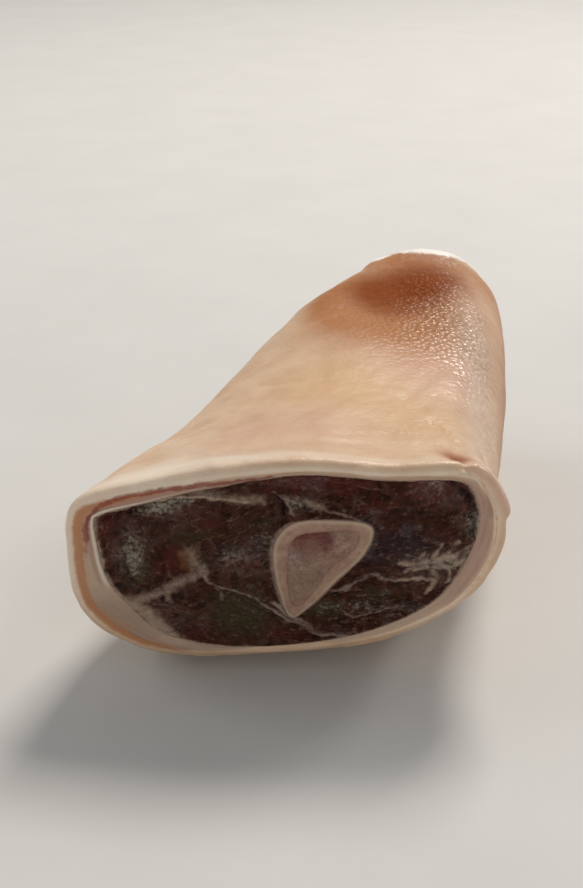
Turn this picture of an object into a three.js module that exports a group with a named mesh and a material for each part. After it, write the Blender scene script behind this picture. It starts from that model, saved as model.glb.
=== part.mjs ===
// A raw pork hock: a short length of hind shank, sawn through below the knee and again above the
// ankle, lying on its side. Lengths are in millimetres and +Z is up. The leg runs along +Y from the
// wide knee cut to the narrow ankle cut, and the origin is at the bottom centre of its box.

import * as THREE from 'three';
import { mergeVertices } from 'three/addons/utils/BufferGeometryUtils.js';

// Overall sizes of the leg.
const LEG_LENGTH = 178;
const KNEE_WIDTH = 130;
const KNEE_HEIGHT = 73.5;
const ANKLE_WIDTH = 68;
const ANKLE_HEIGHT = 69;
const ANKLE_DRIFT = 52; // how far the ankle's middle lies to the side of the knee's

// How the leg lies: the gap left under each cut's rim, and the soft underside pressed flat.
const KNEE_LIFT = 5;
const ANKLE_LIFT = 12;
const SETTLE_BLEND = 1.5;

// Run of each saw cut along the leg for each millimetre of height, about the cut's mid height.
const KNEE_CUT_SLOPE = -0.2;
const ANKLE_CUT_SLOPE = 0.25;
const CUT_PIVOT_HEIGHT = 40;

// Outline of the knee cut in half widths and half heights, from the left side over the top.
const KNEE_OUTLINE = [
  [-1.0, 0.12], [-0.93, 0.62], [-0.63, 0.79], [-0.32, 0.91], [0.05, 1.0], [0.45, 0.95], [0.8, 0.94],
  [0.95, 0.6], [0.96, 0.06], [0.79, -0.47], [0.45, -0.82], [-0.1, -0.98], [-0.62, -0.97], [-0.93, -0.58],
];
const ANKLE_SQUARENESS = 2.1; // 2 is an ellipse, and more is squarer

// Even steps from knee to ankle. taper and drift are shares of the way from the knee's width and
// middle to the ankle's. back and belly are heights above a straight line between the two cuts.
const STATIONS = [
  { taper: 0, drift: 0, back: 0, belly: 0 },
  { taper: 0.14, drift: 0.09, back: -3.5, belly: -9 },
  { taper: 0.29, drift: 0.29, back: -5.5, belly: -11.5 },
  { taper: 0.4, drift: 0.45, back: -3, belly: -13 },
  { taper: 0.52, drift: 0.61, back: 0.5, belly: -13 },
  { taper: 0.7, drift: 0.78, back: 3, belly: -9.5 },
  { taper: 1, drift: 1, back: 0, belly: 0 },
];

// The hollow in the back, before the ankle cut. Its width and length are to where it is a third deep.
const HOLLOW_DEPTH = 9;
const HOLLOW_WIDTH = 22;
const HOLLOW_LENGTH = 30;
const HOLLOW_TO_ANKLE_CUT = 40;
const HOLLOW_SIDE = 4; // to the right of the leg's middle

// Skin with the fat under it, at eight even places round the knee cut, from the left over the top.
const KNEE_RIND = [10, 7, 5, 6, 9, 6, 4, 13.5];
const ANKLE_RIND = 5;

// The shin bone, with its marrow. The knee end is three-sided and the ankle end is round.
const BONE_OUTLINE = [
  [-11, 4], [-6, 11], [6, 12.5], [17, 10], [15.5, 1], [7, -10], [-1, -20], [-6, -24], [-10, -13],
];
const BONE_KNEE_SIDE = 7.5; // to the right of the knee's middle
const BONE_KNEE_HEIGHT = 45;
const BONE_ANKLE_DIAMETER = 27;
const BONE_WAIST_DIAMETER = 22;
const BONE_WALL = 4.5;

// Room between pieces that touch.
const CLEARANCE = 0.3;

// Steps of the facets.
const STEPS_AROUND = 48;
const STEPS_ALONG = 18;
const BONE_STEPS_ALONG = 8;
const OUTLINE_NUDGE = 0.004; // share of a turn over which an outline's direction is taken
const MERGE_DISTANCE = 0.001;

const { lerp, smoothstep } = THREE.MathUtils;

// A closed smooth curve through a list of [x, z] points.
function closedCurve(points) {
  const corners = points.map(([x, z]) => new THREE.Vector3(x, 0, z));
  return new THREE.CatmullRomCurve3(corners, true);
}

// A smooth curve through one pair of values from each station, at even steps.
function stationCurve(first, second) {
  const values = STATIONS.map((station) => new THREE.Vector3(station[first], station[second], 0));
  return new THREE.CatmullRomCurve3(values, false, 'catmullrom');
}

const kneeCurve = closedCurve(KNEE_OUTLINE);
const boneCurve = closedCurve(BONE_OUTLINE);
const rindCurve = new THREE.CatmullRomCurve3(
  KNEE_RIND.map((thickness) => new THREE.Vector3(thickness, 0, 0)), true, 'catmullrom');
const sideCurve = stationCurve('taper', 'drift');
const heightCurve = stationCurve('back', 'belly');

// A rounded square of half size 1. Its turn starts at the left and goes over the top.
function roundedSquare(turn, squareness) {
  const angle = Math.PI - turn * 2 * Math.PI;
  const cos = Math.cos(angle);
  const sin = Math.sin(angle);
  const power = 2 / squareness;
  return new THREE.Vector3(
    Math.sign(cos) * Math.abs(cos) ** power, 0, Math.sign(sin) * Math.abs(sin) ** power);
}

// Height after the soft meat settles: nothing lies below the floor, and the edge rounds into it.
function settle(height) {
  if (height <= -SETTLE_BLEND) return 0;
  if (height >= SETTLE_BLEND) return height;
  return (height + SETTLE_BLEND) ** 2 / (4 * SETTLE_BLEND);
}

// Middle and half sizes of the leg's section at a share of the way from knee to ankle.
function sectionFrame(along) {
  const side = sideCurve.getPoint(along);
  const height = heightCurve.getPoint(along);
  const top = lerp(KNEE_LIFT + KNEE_HEIGHT, ANKLE_LIFT + ANKLE_HEIGHT, along) + height.x;
  const bottom = lerp(KNEE_LIFT, ANKLE_LIFT, along) + height.y;
  return {
    x: ANKLE_DRIFT * side.y,
    z: (top + bottom) / 2,
    halfWidth: lerp(KNEE_WIDTH, ANKLE_WIDTH, side.x) / 2,
    halfHeight: (top - bottom) / 2,
  };
}

// Puts a point of a section where it lies along the leg. Sections tilt from one saw cut to the other.
function placeAlong(point, along) {
  const slope = KNEE_CUT_SLOPE * (1 - along) ** 2 + ANKLE_CUT_SLOPE * along ** 2;
  point.y = LEG_LENGTH * (along - 0.5) + slope * (point.z - CUT_PIVOT_HEIGHT);
  return point;
}

// How far the hollow lowers the skin at a point of the upper side.
function hollowDepth(point, along, frame) {
  const across = (point.x - frame.x - HOLLOW_SIDE) / HOLLOW_WIDTH;
  const lengthways = (LEG_LENGTH * (1 - along) - HOLLOW_TO_ANKLE_CUT) / HOLLOW_LENGTH;
  const upperSide = smoothstep(point.z, frame.z, frame.z + frame.halfHeight * 0.7);
  return HOLLOW_DEPTH * upperSide * Math.exp(-across * across - lengthways * lengthways);
}

// A point of the leg's skin.
function skinPoint(turn, along) {
  const frame = sectionFrame(along);
  const point = kneeCurve.getPointAt(turn).lerp(roundedSquare(turn, ANKLE_SQUARENESS), along);
  point.set(frame.x + point.x * frame.halfWidth, 0, frame.z + point.z * frame.halfHeight);
  point.z = settle(point.z - hollowDepth(point, along, frame));
  return placeAlong(point, along);
}

// A point moved inwards from a section's outline by the given depth, square to the outline.
function inwards(outline, turn, along, depth) {
  const before = outline((turn + 1 - OUTLINE_NUDGE) % 1, along);
  const after = outline((turn + OUTLINE_NUDGE) % 1, along);
  const inward = new THREE.Vector3(after.z - before.z, 0, before.x - after.x).setLength(depth);
  return placeAlong(outline(turn, along).add(inward), along);
}

function rindThickness(turn, along) {
  return lerp(rindCurve.getPoint(turn).x, ANKLE_RIND, along);
}

// A point of the surface where the fat under the skin ends.
function fatPoint(turn, along) {
  return inwards(skinPoint, turn, along, rindThickness(turn, along));
}

function leanPoint(turn, along) {
  return inwards(skinPoint, turn, along, rindThickness(turn, along) + CLEARANCE);
}

// A point of the bone, at the given depth towards its middle.
function boneDepthPoint(turn, along, depth) {
  const diameter = lerp(BONE_ANKLE_DIAMETER, BONE_WAIST_DIAMETER, 4 * along * (1 - along));
  const round = roundedSquare(turn, 2).multiplyScalar(diameter / 2);
  const point = boneCurve.getPointAt(turn).lerp(round, smoothstep(along, 0, 0.5));
  point.setLength(point.length() - depth);
  const ankle = sectionFrame(1);
  point.x += lerp(BONE_KNEE_SIDE, ankle.x, along);
  point.z += lerp(BONE_KNEE_HEIGHT, ankle.z, along);
  return placeAlong(point, along);
}

function bonePoint(turn, along) {
  return boneDepthPoint(turn, along, 0);
}

function boneHolePoint(turn, along) {
  return boneDepthPoint(turn, along, BONE_WALL);
}

// Rings of points from one end of the leg to the other.
function rings(stepsAlong, pointAt) {
  const step = (count) => [...Array(count).keys()];
  return step(stepsAlong + 1).map((row) =>
    step(STEPS_AROUND).map((column) => pointAt(column / STEPS_AROUND, row / stepsAlong)));
}

// Triangles of a band between two rings, facing out of the leg. A ring may be a single point.
function band(near, far) {
  const triangles = [];
  const count = Math.max(near.length, far.length);
  for (let column = 0; column < count; column += 1) {
    const a = near[column % near.length];
    const b = near[(column + 1) % near.length];
    const c = far[(column + 1) % far.length];
    const d = far[column % far.length];
    if (a !== b) triangles.push([a, b, c]);
    if (c !== d) triangles.push([a, c, d]);
  }
  return triangles;
}

// The bands of a wall, from its first ring to its last.
function wall(rows) {
  return rows.slice(1).flatMap((row, index) => band(rows[index], row));
}

function turnedInward(triangles) {
  return triangles.map(([a, b, c]) => [a, c, b]);
}

function geometryOf(triangles) {
  const geometry = mergeVertices(new THREE.BufferGeometry().setFromPoints(triangles.flat()), MERGE_DISTANCE);
  geometry.computeVertexNormals();
  return geometry;
}

// A wall between an outer and an inner surface, with both ends open.
function tubeGeometry(outer, inner) {
  const kneeEnd = band(inner[0], outer[0]);
  const ankleEnd = band(outer.at(-1), inner.at(-1));
  return geometryOf([...wall(outer), ...turnedInward(wall(inner)), ...kneeEnd, ...ankleEnd]);
}

// A solid core, with a flat face at each end.
function coreGeometry(outer) {
  const ends = [outer[0], outer.at(-1)].map((ring) => new THREE.Box3().setFromPoints(ring));
  const [kneeMiddle, ankleMiddle] = ends.map((box) => box.getCenter(new THREE.Vector3()));
  return geometryOf(wall([[kneeMiddle], ...outer, [ankleMiddle]]));
}

function piece(name, geometry, color, roughness) {
  const mesh = new THREE.Mesh(geometry, new THREE.MeshStandardMaterial({ color, roughness, metalness: 0 }));
  mesh.name = name;
  return mesh;
}

function rind() {
  const geometry = tubeGeometry(rings(STEPS_ALONG, skinPoint), rings(STEPS_ALONG, fatPoint));
  return piece('rind', geometry, 0xcfa98a, 0.45);
}

function leanMeat() {
  const boneHole = (turn, along) => inwards(bonePoint, turn, along, -CLEARANCE);
  const geometry = tubeGeometry(rings(STEPS_ALONG, leanPoint), rings(BONE_STEPS_ALONG, boneHole));
  return piece('lean_meat', geometry, 0x5a2a24, 0.35);
}

function shinBone() {
  const geometry = tubeGeometry(rings(BONE_STEPS_ALONG, bonePoint), rings(BONE_STEPS_ALONG, boneHolePoint));
  return piece('shin_bone', geometry, 0xd2b394, 0.5);
}

function marrow() {
  const marrowPoint = (turn, along) => inwards(boneHolePoint, turn, along, CLEARANCE);
  return piece('marrow', coreGeometry(rings(BONE_STEPS_ALONG, marrowPoint)), 0xa8604f, 0.4);
}

// Moves the hock so that the origin is at the bottom centre of its box.
function standAtOrigin(group) {
  const box = new THREE.Box3().setFromObject(group);
  const middle = box.getCenter(new THREE.Vector3());
  group.position.set(-middle.x, -middle.y, -box.min.z);
  return group;
}

const hock = new THREE.Group();
hock.name = 'pork_hock';
hock.add(rind(), leanMeat(), shinBone(), marrow());

export default standAtOrigin(hock);
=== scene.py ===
"""A raw pork hock, lying on its side on a pale floor in soft studio light.

The hock is a short sawn length of hind shank: a sleeve of rind round lean meat, with the shin bone and
its marrow in the middle. Each piece is a closed grid of points worked out with numpy from the leg's
sizes, in millimetres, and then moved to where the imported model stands.
"""

import logging
from collections.abc import Callable, Iterable
from dataclasses import dataclass, field
from enum import Enum

import bpy
import numpy as np
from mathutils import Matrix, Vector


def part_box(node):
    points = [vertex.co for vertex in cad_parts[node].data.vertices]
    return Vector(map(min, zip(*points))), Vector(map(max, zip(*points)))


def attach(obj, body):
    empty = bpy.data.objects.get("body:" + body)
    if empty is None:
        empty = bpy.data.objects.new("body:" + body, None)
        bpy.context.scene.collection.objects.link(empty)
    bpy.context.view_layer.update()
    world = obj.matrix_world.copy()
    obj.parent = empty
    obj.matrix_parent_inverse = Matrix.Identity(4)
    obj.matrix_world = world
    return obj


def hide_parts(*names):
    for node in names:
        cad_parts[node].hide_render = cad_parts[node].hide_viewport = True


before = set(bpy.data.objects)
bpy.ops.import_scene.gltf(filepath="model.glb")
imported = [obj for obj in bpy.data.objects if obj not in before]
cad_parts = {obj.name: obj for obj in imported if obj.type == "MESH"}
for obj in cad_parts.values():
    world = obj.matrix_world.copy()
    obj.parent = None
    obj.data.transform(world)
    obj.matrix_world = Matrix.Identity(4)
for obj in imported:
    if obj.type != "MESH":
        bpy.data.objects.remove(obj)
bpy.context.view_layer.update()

LOG = logging.getLogger("pork_hock")
MM = 0.001  # metres in a millimetre
SMALL = 1e-6  # keeps a division away from zero
TINY = 1e-9  # the same, where the numbers are smaller
AT_KNEE = 0.0  # share of the leg's length at the knee cut
AT_ANKLE = 1.0  # and at the ankle cut

Array = np.ndarray
Outline = Callable[[Array, Array], Array]
Socket = bpy.types.NodeSocket


# ---------------------------------------------------------------------------------------------------
# Numbers: steps, noise and smooth curves
# ---------------------------------------------------------------------------------------------------


def smooth_step(low: float, high: float, value: Array) -> Array:
    """Rises smoothly from 0 at low to 1 at high, as 3t^2 - 2t^3.

    Args:
        low: Where the step starts.
        high: Where the step ends. It may be below low, for a falling step.
        value: The values to step on.

    Returns:
        The step at each value.
    """
    share = np.clip((value - low) / (high - low), 0.0, 1.0)
    return share * share * (3.0 - 2.0 * share)


def mix(first: Array, second: Array, share: Array) -> Array:
    """Blends two values in proportion.

    Args:
        first: The value where share is 0.
        second: The value where share is 1.
        share: How far to go from first to second.

    Returns:
        The blend at each share.
    """
    return first + (second - first) * share


def bell(value: Array, middle: float, width: float) -> Array:
    """A soft band: exp(-((value - middle) / width)^2).

    Args:
        value: The values to look at.
        middle: Where the band is strongest.
        width: How far from there it falls to about a third.

    Returns:
        Strengths from 0 to 1.
    """
    return np.exp(-(((value - middle) / width) ** 2))


def scramble(cell: Array, seed: int) -> Array:
    """A repeatable random number from 0 to 1 for each whole-numbered cell.

    Args:
        cell: Whole numbers, with x, y and z last.
        seed: Picks one of many patterns.

    Returns:
        One number for each cell, from multiplying and mixing its bits.
    """
    mask = np.uint64(0xFFFFFFFF)
    x, y, z = (cell[..., axis].astype(np.int64).astype(np.uint64) for axis in range(3))
    bits = x * np.uint64(374761393) + y * np.uint64(668265263) + z * np.uint64(2246822519)
    bits = (bits + np.uint64(seed * 3266489917)) & mask
    bits = ((bits ^ (bits >> np.uint64(13))) * np.uint64(1274126177)) & mask
    bits = ((bits ^ (bits >> np.uint64(16))) * np.uint64(2246822519)) & mask
    return (bits ^ (bits >> np.uint64(15))).astype(float) / float(0xFFFFFFFF)


def plain_noise(points: Array, seed: int) -> Array:
    """Smooth noise from -1 to 1, one random value at each whole point and smooth between them.

    Args:
        points: Places, with x, y and z last.
        seed: Picks one of many patterns.

    Returns:
        One value for each place.
    """
    corner = np.floor(points)
    part = points - corner
    weight = part * part * (3.0 - 2.0 * part)
    total = np.zeros(points.shape[:-1])
    for offset in np.ndindex(2, 2, 2):
        share = np.prod(np.where(np.array(offset) == 1, weight, 1.0 - weight), axis=-1)
        total += share * scramble(corner + np.array(offset), seed)
    return total * 2.0 - 1.0


def noise(points: Array, size: float | tuple[float, ...], seed: int, octaves: int = 3) -> Array:
    """Cloudy noise: plain noise plus finer copies, each half as large and half as strong.

    Args:
        points: Places in millimetres, with x, y and z last.
        size: Width of the largest clouds, one number or one for each axis.
        seed: Picks one of many patterns.
        octaves: How many layers are added.

    Returns:
        Values of about -1 to 1.
    """
    scaled = points / np.array(size)
    total = np.zeros(points.shape[:-1])
    for octave in range(octaves):
        total += plain_noise(scaled * 2.0**octave, seed + octave) * 0.5**octave
    return total / (2.0 - 0.5 ** (octaves - 1))


def ridges(points: Array, size: float | tuple[float, ...], seed: int, octaves: int = 2) -> Array:
    """Thin bright lines where cloudy noise crosses zero, as 1 - |noise| to a power.

    Args:
        points: Places in millimetres, with x, y and z last.
        size: Width of the largest clouds, one number or one for each axis.
        seed: Picks one of many patterns.
        octaves: How many layers are added.

    Returns:
        Values from 0 to 1.
    """
    sharpness = 6
    return (1.0 - np.abs(noise(points, size, seed, octaves))) ** sharpness


def cell_distance(points: Array, size: float, seed: int) -> tuple[Array, Array]:
    """Distances to the nearest and second nearest of one random point in each cell.

    Args:
        points: Places in millimetres, with x, y and z last.
        size: Width of a cell.
        seed: Picks one of many patterns.

    Returns:
        The two distances, in cell widths.
    """
    scaled = points / size
    corner = np.floor(scaled)
    nearest = np.full(points.shape[:-1], 9.0)
    second = nearest.copy()
    for offset in np.ndindex(3, 3, 3):
        cell = corner + np.array(offset) - 1
        middle = np.stack([scramble(cell, seed + axis) for axis in range(3)], axis=-1)
        distance = np.linalg.norm(cell + middle - scaled, axis=-1)
        second = np.minimum(second, np.maximum(nearest, distance))
        nearest = np.minimum(nearest, distance)
    return nearest, second


def smooth_curve(points: Array, share: Array, closed: bool, spacing: float) -> Array:
    """A smooth curve through a list of points.

    Each stretch is a cubic whose slopes at its ends come from its neighbours (Catmull-Rom). The stretch
    between two points counts as their distance to the power of spacing, so 0 makes every stretch alike.

    Args:
        points: The points, one in each row.
        share: Places on the curve, from 0 at the first point to 1 at its end.
        closed: Whether the curve runs from the last point back to the first.
        spacing: Power of the distance between two points, 0 or 0.5.

    Returns:
        The points at each share.
    """
    count = len(points)
    stretches = count if closed else count - 1
    if closed:
        padded = np.concatenate([points[-1:], points, points[:2]])
    else:
        padded = np.concatenate([[2 * points[0] - points[1]], points, [2 * points[-1] - points[-2]]])
    place = np.clip(share, 0.0, 1.0) * stretches
    index = np.minimum(place.astype(int), stretches - 1)
    t = (place - index)[..., None]
    p0, p1, p2, p3 = (padded[index + step] for step in range(4))
    pairs = ((p0, p1), (p1, p2), (p2, p3))
    lengths = (np.linalg.norm(end - start, axis=-1, keepdims=True) ** spacing for start, end in pairs)
    d0, d1, d2 = (np.maximum(length, SMALL) for length in lengths)
    slope1 = ((p1 - p0) / d0 - (p2 - p0) / (d0 + d1) + (p2 - p1) / d1) * d1
    slope2 = ((p2 - p1) / d1 - (p3 - p1) / (d1 + d2) + (p3 - p2) / d2) * d1
    cubic = 2 * (p1 - p2) + slope1 + slope2
    square = 3 * (p2 - p1) - 2 * slope1 - slope2
    return p1 + slope1 * t + square * t**2 + cubic * t**3


class Loop:
    """A closed smooth outline, walked at even speed."""

    STEPS = 800

    def __init__(self, points: list[tuple[float, float]]) -> None:
        """Measures the outline.

        Args:
            points: The x, z points that it runs through.
        """
        self.points = np.array(points, float)
        self.shares = np.linspace(0.0, 1.0, self.STEPS + 1)
        dense = smooth_curve(self.points, self.shares, closed=True, spacing=0.5)
        steps = np.linalg.norm(np.diff(dense, axis=0), axis=-1)
        self.walked = np.concatenate([[0.0], np.cumsum(steps)]) / steps.sum()

    def at(self, turn: Array) -> Array:
        """Finds points on the outline.

        Args:
            turn: Shares of the outline's length.

        Returns:
            The x, z point at each share.
        """
        share = np.interp(np.mod(turn, 1.0), self.walked, self.shares)
        return smooth_curve(self.points, share, closed=True, spacing=0.5)


# ---------------------------------------------------------------------------------------------------
# The leg's shape, the same as the solid model's
# ---------------------------------------------------------------------------------------------------


@dataclass
class LegShape:
    """Sizes of the leg in millimetres, with +Z up and +Y from the knee cut to the ankle cut."""

    length: float = 178.0
    knee_width: float = 130.0
    knee_height: float = 73.5
    ankle_width: float = 68.0
    ankle_height: float = 69.0
    ankle_drift: float = 52.0
    knee_lift: float = 5.0
    ankle_lift: float = 12.0
    settle_blend: float = 1.5
    knee_cut_slope: float = -0.2
    ankle_cut_slope: float = 0.25
    cut_pivot_height: float = 40.0
    ankle_squareness: float = 2.1
    knee_outline: list[tuple[float, float]] = field(
        default_factory=lambda: [
            (-1.0, 0.12), (-0.93, 0.62), (-0.63, 0.79), (-0.32, 0.91), (0.05, 1.0), (0.45, 0.95),
            (0.8, 0.94), (0.95, 0.6), (0.96, 0.06), (0.79, -0.47), (0.45, -0.82), (-0.1, -0.98),
            (-0.62, -0.97), (-0.93, -0.58),
        ]
    )
    # Even steps from knee to ankle: taper, drift, back and belly.
    stations: list[tuple[float, float, float, float]] = field(
        default_factory=lambda: [
            (0.0, 0.0, 0.0, 0.0), (0.14, 0.09, -3.5, -9.0), (0.29, 0.29, -5.5, -11.5),
            (0.4, 0.45, -3.0, -13.0), (0.52, 0.61, 0.5, -13.0), (0.7, 0.78, 3.0, -9.5), (1.0, 1.0, 0.0, 0.0),
        ]
    )
    hollow_depth: float = 9.0
    hollow_width: float = 22.0
    hollow_length: float = 30.0
    hollow_to_ankle_cut: float = 40.0
    hollow_side: float = 4.0
    # Skin and fat at eight even places round the knee cut, from the left over the top.
    knee_rind: tuple[float, ...] = (10.0, 7.0, 5.0, 6.0, 9.0, 6.0, 4.0, 13.5)
    ankle_rind: float = 5.0
    bone_outline: list[tuple[float, float]] = field(
        default_factory=lambda: [
            (-11, 4), (-6, 11), (6, 12.5), (17, 10), (15.5, 1), (7, -10), (-1, -20), (-6, -24), (-10, -13),
        ]
    )
    bone_knee_side: float = 7.5
    bone_knee_height: float = 45.0
    bone_ankle_diameter: float = 27.0
    bone_waist_diameter: float = 22.0
    bone_wall: float = 4.5

    def __post_init__(self) -> None:
        """Measures the outlines and finds how far the model stands from the leg's own origin."""
        self.knee_loop = Loop(self.knee_outline)
        self.bone_loop = Loop(self.bone_outline)
        turn, along = np.meshgrid(np.linspace(0.0, 1.0, 241), np.linspace(0.0, 1.0, 121))
        skin = self.skin(turn, along)
        low, high = (np.array(corner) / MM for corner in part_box("rind"))
        own_low, own_high = skin.min(axis=(0, 1)), skin.max(axis=(0, 1))
        self.shift = (low + high - own_low - own_high) / 2.0
        self.shift[2] = low[2] - own_low[2]

    def section(self, along: Array) -> tuple[Array, Array, Array, Array]:
        """Sizes of the leg's section.

        Args:
            along: Share of the leg's length, from the knee cut.

        Returns:
            Middle x, middle z, half width and half height.
        """
        values = smooth_curve(np.array(self.stations), along, closed=False, spacing=0.0)
        taper, drift, back, belly = (values[..., column] for column in range(4))
        top = mix(self.knee_lift + self.knee_height, self.ankle_lift + self.ankle_height, along) + back
        bottom = mix(self.knee_lift, self.ankle_lift, along) + belly
        half_width = mix(self.knee_width, self.ankle_width, taper) / 2.0
        return self.ankle_drift * drift, (top + bottom) / 2.0, half_width, (top - bottom) / 2.0

    def settle(self, height: Array) -> Array:
        """Height after the soft meat settles on the floor, with a rounded edge to the flat patch.

        Args:
            height: Height before it settles.

        Returns:
            0 well under the floor, height well over it, and (height + blend)^2 / 4 blend between.
        """
        blend = self.settle_blend
        rounded = (height + blend) ** 2 / (4.0 * blend)
        return np.where(height <= -blend, 0.0, np.where(height >= blend, height, rounded))

    def place(self, x: Array, z: Array, along: Array) -> Array:
        """Sets section points where they lie along the leg. Sections tilt from one cut to the other.

        Args:
            x: Sideways places.
            z: Heights.
            along: Share of the leg's length.

        Returns:
            Points with x, y and z last.
        """
        slope = self.knee_cut_slope * (1.0 - along) ** 2 + self.ankle_cut_slope * along**2
        y = self.length * (along - 0.5) + slope * (z - self.cut_pivot_height)
        return np.stack([x, y, z], axis=-1)

    def skin(self, turn: Array, along: Array) -> Array:
        """Points of the skin.

        Args:
            turn: Share of the way round, from the left side over the top.
            along: Share of the leg's length.

        Returns:
            Points with x, y and z last.
        """
        turn, along = np.broadcast_arrays(turn, along)
        x, z, half_width, half_height = self.section(along)
        angle = np.pi * (1.0 - 2.0 * turn)
        cos, sin = np.cos(angle), np.sin(angle)
        power = 2.0 / self.ankle_squareness
        oval = np.stack([np.sign(cos) * np.abs(cos) ** power, np.sign(sin) * np.abs(sin) ** power], axis=-1)
        outline = mix(self.knee_loop.at(turn), oval, along[..., None])
        px = x + outline[..., 0] * half_width
        pz = z + outline[..., 1] * half_height
        across = (px - x - self.hollow_side) / self.hollow_width
        lengthways = (self.length * (1.0 - along) - self.hollow_to_ankle_cut) / self.hollow_length
        upper = smooth_step(0.0, 0.7, outline[..., 1])
        pz = pz - self.hollow_depth * upper * np.exp(-(across**2) - lengthways**2)
        return self.place(px, self.settle(pz), along)

    def inwards(self, outline: Outline, turn: Array, along: Array, depth: Array) -> Array:
        """Points moved inwards from a section's outline, square to it.

        Args:
            outline: Gives the outline's points from a turn and a share along.
            turn: Share of the way round.
            along: Share of the leg's length.
            depth: How far inwards, in millimetres.

        Returns:
            Points with x, y and z last.
        """
        nudge = 0.004
        before = outline(np.mod(turn - nudge, 1.0), along)
        after = outline(np.mod(turn + nudge, 1.0), along)
        inward = np.stack([after[..., 2] - before[..., 2], before[..., 0] - after[..., 0]], axis=-1)
        inward /= np.linalg.norm(inward, axis=-1, keepdims=True)
        middle = outline(turn, along)
        turn, along, depth = np.broadcast_arrays(turn, along, depth)
        x = middle[..., 0] + inward[..., 0] * depth
        z = middle[..., 2] + inward[..., 1] * depth
        return self.place(x, z, along)

    def rind_thickness(self, turn: Array, along: Array) -> Array:
        """Thickness of the skin with its fat.

        Args:
            turn: Share of the way round.
            along: Share of the leg's length.

        Returns:
            Millimetres at each place.
        """
        knee = smooth_curve(np.array(self.knee_rind)[:, None], np.mod(turn, 1.0), closed=True, spacing=0.0)
        return mix(knee[..., 0], self.ankle_rind, along)

    def bone(self, turn: Array, along: Array, depth: float = 0.0) -> Array:
        """Points of the bone, or of a surface inside it.

        Args:
            turn: Share of the way round.
            along: Share of the leg's length.
            depth: How far inside, in millimetres, towards the bone's middle.

        Returns:
            Points with x, y and z last.
        """
        turn, along = np.broadcast_arrays(turn, along)
        diameter = mix(self.bone_ankle_diameter, self.bone_waist_diameter, 4.0 * along * (1.0 - along))
        angle = np.pi * (1.0 - 2.0 * turn)
        circle = np.stack([np.cos(angle), np.sin(angle)], axis=-1) * diameter[..., None] / 2.0
        outline = mix(self.bone_loop.at(turn), circle, smooth_step(0.0, 0.5, along)[..., None])
        length = np.linalg.norm(outline, axis=-1, keepdims=True)
        outline = outline * (length - depth) / length
        ankle_x, ankle_z, _, _ = self.section(np.array(1.0))
        x = outline[..., 0] + mix(self.bone_knee_side, ankle_x, along)
        z = outline[..., 1] + mix(self.bone_knee_height, ankle_z, along)
        return self.place(x, z, along)

    def marrow_edge(self, turn: Array, along: Array) -> Array:
        """Points where the hard bone ends and the marrow starts.

        Args:
            turn: Share of the way round.
            along: Share of the leg's length.

        Returns:
            Points with x, y and z last.
        """
        return self.bone(turn, along, self.bone_wall)

    @property
    def knee_normal(self) -> Array:
        """Direction out of the knee cut.

        Returns:
            One direction, of length 1.
        """
        normal = np.array([0.0, -1.0, self.knee_cut_slope])
        return normal / np.linalg.norm(normal)

    @property
    def ankle_normal(self) -> Array:
        """Direction out of the ankle cut.

        Returns:
            One direction, of length 1.
        """
        normal = np.array([0.0, 1.0, -self.ankle_cut_slope])
        return normal / np.linalg.norm(normal)


# ---------------------------------------------------------------------------------------------------
# Marks on the surfaces: dabs of colour or height, and lines such as seams and creases
# ---------------------------------------------------------------------------------------------------


@dataclass(frozen=True)
class Dab:
    """A soft round patch: amount x exp(-distance^2), with the distance counted in radii.

    It has as many coordinates as the places that it is laid over.
    """

    middle: tuple[float, ...]
    radius: tuple[float, ...]
    amount: float = 1.0

    def over(self, points: Array) -> Array:
        """The patch's strength.

        Args:
            points: Places with as many coordinates as the patch's middle.

        Returns:
            The strength at each place.
        """
        away = (points - np.array(self.middle)) / np.array(self.radius)
        return self.amount * np.exp(-np.sum(away * away, axis=-1))


@dataclass(frozen=True)
class Line:
    """A smooth line through a few points, with a soft edge."""

    points: tuple[tuple[float, ...], ...]
    width: float
    amount: float = 1.0

    def over(self, points: Array) -> Array:
        """The line's strength: amount x exp(-(distance / width)^2).

        Args:
            points: Places with as many coordinates as the line's own points.

        Returns:
            The strength at each place.
        """
        return self.amount * np.exp(-((self.distance(points) / self.width) ** 2))

    def distance(self, points: Array) -> Array:
        """Distance to the line, as the least distance to its short straight steps.

        Args:
            points: Places with as many coordinates as the line's own points.

        Returns:
            The distance from each place.
        """
        steps_a_stretch = 5
        steps = steps_a_stretch * (len(self.points) - 1) + 1
        shares = np.linspace(0.0, 1.0, steps)
        corners = smooth_curve(np.array(self.points, float), shares, closed=False, spacing=0.5)
        nearest = np.full(points.shape[:-1], np.inf)
        for start, end in zip(corners[:-1], corners[1:]):
            along = end - start
            share = np.clip(((points - start) @ along) / max(along @ along, TINY), 0.0, 1.0)
            nearest = np.minimum(nearest, np.linalg.norm(points - start - share[..., None] * along, axis=-1))
        return nearest


def total(marks: Iterable[Dab | Line], points: Array) -> Array:
    """The strengths of several marks, added.

    Args:
        marks: Dabs or lines.
        points: Places with as many coordinates as the marks have.

    Returns:
        The sum at each place.
    """
    return np.sum([mark.over(points) for mark in marks], axis=0)


def strongest(marks: Iterable[Dab | Line], points: Array) -> Array:
    """The strength of the strongest of several marks.

    Args:
        marks: Dabs or lines.
        points: Places with as many coordinates as the marks have.

    Returns:
        The greatest strength at each place.
    """
    return np.max([mark.over(points) for mark in marks], axis=0)


# ---------------------------------------------------------------------------------------------------
# Meshes
# ---------------------------------------------------------------------------------------------------


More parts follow.
